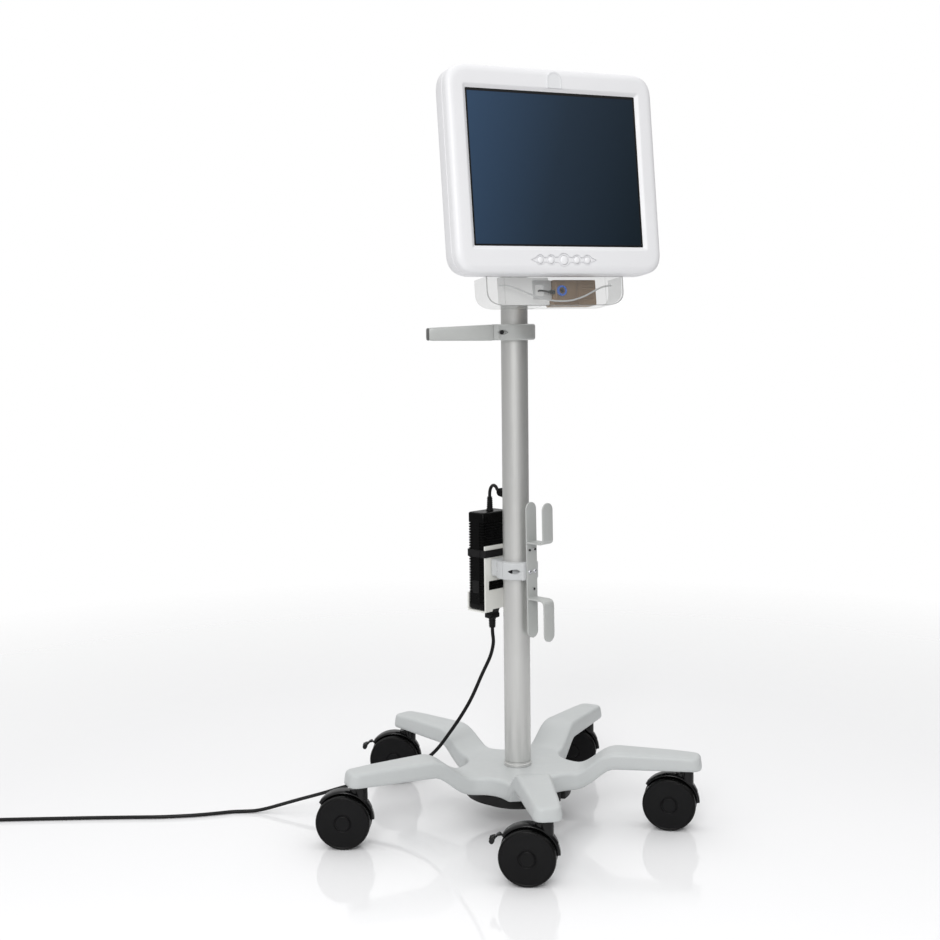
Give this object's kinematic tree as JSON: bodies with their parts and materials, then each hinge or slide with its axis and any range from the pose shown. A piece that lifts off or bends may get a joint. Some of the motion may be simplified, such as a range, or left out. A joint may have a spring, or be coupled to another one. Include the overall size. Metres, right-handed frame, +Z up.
{
  "type": "patient monitor",
  "caption": "Flat display in a rounded white case, tilting and swivelling on a tubular roll stand with a star base, twin-wheel casters, handle, cable hooks and a power brick on a cord",
  "frame": {"origin": "on the floor, under the middle of the stand's bounding box without its mains cord", "axes": "+Z up; the screen faces -Y; +X is to the right of a person who reads the screen"},
  "size_m": [1.3589, 0.9527, 1.408],
  "materials": {
    "cast_paint": "light silver-grey paint on a cast aluminium star, satin",
    "ballast_iron": "black enamel on cast iron",
    "steel_tube": "satin anodised silver tube",
    "silver_paint": "silver-grey powder coat",
    "cream_paint": "off-white powder coat",
    "white_plastic": "white moulded plastic, fine satin texture",
    "black_plastic": "black moulded plastic",
    "caster_plastic": "black moulded nylon, half gloss",
    "tyre_rubber": "black polyurethane tread",
    "cord_rubber": "black flexible cord jacket",
    "bright_steel": "bright zinc plated steel",
    "screen_glass": "anti-glare screen glass, dark when off",
    "panel_black": "black display panel",
    "clear_plastic": "translucent clear plastic",
    "bronze_plastic": "metallic bronze moulded plastic",
    "blue_plastic": "bright blue connector ring",
    "board_green": "green solder mask"
  },
  "bodies": {
    "root": {"star_base": "cast_paint", "ballast_plate": "ballast_iron", "ballast_weight": "ballast_iron", "centre_bolt": "bright_steel", "column_tube": "steel_tube", "column_foot": "steel_tube", "handle_clamp": "silver_paint", "handle_bar": "silver_paint", "handle_cap": "black_plastic", "clamp_hook_half": "cream_paint", "clamp_brick_half": "cream_paint", "clamp_bolt_left": "bright_steel", "clamp_bolt_right": "bright_steel", "cable_hook": "silver_paint", "brick_bracket": "cream_paint", "brick_case": "black_plastic", "brick_strap": "cord_rubber", "lead_relief": "black_plastic", "brick_lead": "cord_rubber", "column_plug": "black_plastic", "cord_connector": "black_plastic", "mains_cord": "cord_rubber", "mains_coil": "cord_rubber", "mains_plug": "black_plastic", "head_bush": "black_plastic"},
    "head": {"swivel_head": "cream_paint", "tilt_pin": "bright_steel"},
    "monitor": {"mount_plate": "cream_paint", "rear_housing": "white_plastic", "front_bezel": "white_plastic", "screen_glass": "screen_glass", "lcd_panel": "panel_black", "main_board": "board_green", "badge_tab": "white_plastic", "clear_tray": "clear_plastic", "io_module": "bronze_plastic", "jack_ring": "blue_plastic", "sensor_lead": "white_plastic"},
    "button_1": {"button_1": "white_plastic"},
    "button_2": {"button_2": "white_plastic"},
    "button_3": {"button_3": "white_plastic"},
    "button_4": {"button_4": "white_plastic"},
    "button_5": {"button_5": "white_plastic"},
    "caster_front": {"caster_hood_front": "caster_plastic"},
    "wheel_front_a": {"caster_wheel_front_a": "tyre_rubber"},
    "wheel_front_b": {"caster_wheel_front_b": "tyre_rubber"},
    "brake_front": {"brake_pedal_front": "caster_plastic"},
    "caster_right": {"caster_hood_right": "caster_plastic"},
    "wheel_right_a": {"caster_wheel_right_a": "tyre_rubber"},
    "wheel_right_b": {"caster_wheel_right_b": "tyre_rubber"},
    "caster_rear_right": {"caster_hood_rear_right": "caster_plastic"},
    "wheel_rear_right_a": {"caster_wheel_rear_right_a": "tyre_rubber"},
    "wheel_rear_right_b": {"caster_wheel_rear_right_b": "tyre_rubber"},
    "caster_rear_left": {"caster_hood_rear_left": "caster_plastic"},
    "wheel_rear_left_a": {"caster_wheel_rear_left_a": "tyre_rubber"},
    "wheel_rear_left_b": {"caster_wheel_rear_left_b": "tyre_rubber"},
    "brake_rear_left": {"brake_pedal_rear_left": "caster_plastic"},
    "caster_left": {"caster_hood_left": "caster_plastic"},
    "wheel_left_a": {"caster_wheel_left_a": "tyre_rubber"},
    "wheel_left_b": {"caster_wheel_left_b": "tyre_rubber"}
  },
  "joints": [
    {"name": "head_swivel", "type": "hinge", "parent": "root", "child": "head", "pos_m": [0.0574, -0.0148, 1.22], "axis": [0, 0, 1], "range_deg": [-90, 90]},
    {"name": "monitor_tilt", "type": "hinge", "parent": "head", "child": "monitor", "pos_m": [0.0574, -0.08574, 1.2206], "axis": [1, 0, 0], "range_deg": [-12, 13]},
    {"name": "button_1_press", "type": "slide", "parent": "monitor", "child": "button_1", "axis": [0, 0.9927, -0.121], "range_m": [0, 0.001], "stiffness_N_per_m": 500},
    {"name": "button_2_press", "type": "slide", "parent": "monitor", "child": "button_2", "axis": [0, 0.9927, -0.121], "range_m": [0, 0.001], "stiffness_N_per_m": 500},
    {"name": "button_3_press", "type": "slide", "parent": "monitor", "child": "button_3", "axis": [0, 0.9927, -0.121], "range_m": [0, 0.001], "stiffness_N_per_m": 500},
    {"name": "button_4_press", "type": "slide", "parent": "monitor", "child": "button_4", "axis": [0, 0.9927, -0.121], "range_m": [0, 0.001], "stiffness_N_per_m": 500},
    {"name": "button_5_press", "type": "slide", "parent": "monitor", "child": "button_5", "axis": [0, 0.9927, -0.121], "range_m": [0, 0.001], "stiffness_N_per_m": 500},
    {"name": "caster_front_swivel", "type": "hinge", "parent": "root", "child": "caster_front", "pos_m": [-0.04334, -0.32484, 0.117], "axis": [0, 0, 1], "continuous": true},
    {"name": "wheel_front_a_spin", "type": "hinge", "parent": "caster_front", "child": "wheel_front_a", "pos_m": [-0.07731, -0.31861, 0.0508], "axis": [-0.5373, -0.8434, 0], "continuous": true},
    {"name": "wheel_front_b_spin", "type": "hinge", "parent": "caster_front", "child": "wheel_front_b", "pos_m": [-0.06334, -0.29669, 0.0508], "axis": [-0.5373, -0.8434, 0], "continuous": true},
    {"name": "brake_front_press", "type": "hinge", "parent": "caster_front", "child": "brake_front", "pos_m": [-0.11165, -0.28132, 0.087], "axis": [-0.5373, -0.8434, 0], "range_deg": [0, 14]},
    {"name": "caster_right_swivel", "type": "hinge", "parent": "root", "child": "caster_right", "pos_m": [0.32114, -0.20642, 0.117], "axis": [0, 0, 1], "continuous": true},
    {"name": "wheel_right_a_spin", "type": "hinge", "parent": "caster_right", "child": "wheel_right_a", "pos_m": [0.28784, -0.19725, 0.0508], "axis": [-0.6088, -0.7934, 0], "continuous": true},
    {"name": "wheel_right_b_spin", "type": "hinge", "parent": "caster_right", "child": "wheel_right_b", "pos_m": [0.30367, -0.17662, 0.0508], "axis": [-0.6088, -0.7934, 0], "continuous": true},
    {"name": "caster_rear_right_swivel", "type": "hinge", "parent": "root", "child": "caster_rear_right", "pos_m": [0.32114, 0.17682, 0.117], "axis": [0, 0, 1], "continuous": true},
    {"name": "wheel_rear_right_a_spin", "type": "hinge", "parent": "caster_rear_right", "child": "wheel_rear_right_a", "pos_m": [0.28717, 0.18305, 0.0508], "axis": [-0.5373, -0.8434, 0], "continuous": true},
    {"name": "wheel_rear_right_b_spin", "type": "hinge", "parent": "caster_rear_right", "child": "wheel_rear_right_b", "pos_m": [0.30114, 0.20498, 0.0508], "axis": [-0.5373, -0.8434, 0], "continuous": true},
    {"name": "caster_rear_left_swivel", "type": "hinge", "parent": "root", "child": "caster_rear_left", "pos_m": [-0.04334, 0.29524, 0.117], "axis": [0, 0, 1], "continuous": true},
    {"name": "wheel_rear_left_a_spin", "type": "hinge", "parent": "caster_rear_left", "child": "wheel_rear_left_a", "pos_m": [-0.07773, 0.29849, 0.0508], "axis": [-0.4617, -0.887, 0], "continuous": true},
    {"name": "wheel_rear_left_b_spin", "type": "hinge", "parent": "caster_rear_left", "child": "wheel_rear_left_b", "pos_m": [-0.06572, 0.32155, 0.0508], "axis": [-0.4617, -0.887, 0], "continuous": true},
    {"name": "brake_rear_left_press", "type": "hinge", "parent": "caster_rear_left", "child": "brake_rear_left", "pos_m": [-0.11519, 0.33265, 0.087], "axis": [-0.4617, -0.887, 0], "range_deg": [0, 14]},
    {"name": "caster_left_swivel", "type": "hinge", "parent": "root", "child": "caster_left", "pos_m": [-0.2686, -0.0148, 0.117], "axis": [0, 0, 1], "continuous": true},
    {"name": "wheel_left_a_spin", "type": "hinge", "parent": "caster_left", "child": "wheel_left_a", "pos_m": [-0.30299, -0.01155, 0.0508], "axis": [-0.4617, -0.887, 0], "continuous": true},
    {"name": "wheel_left_b_spin", "type": "hinge", "parent": "caster_left", "child": "wheel_left_b", "pos_m": [-0.29098, 0.01151, 0.0508], "axis": [-0.4617, -0.887, 0], "continuous": true}
  ]
}
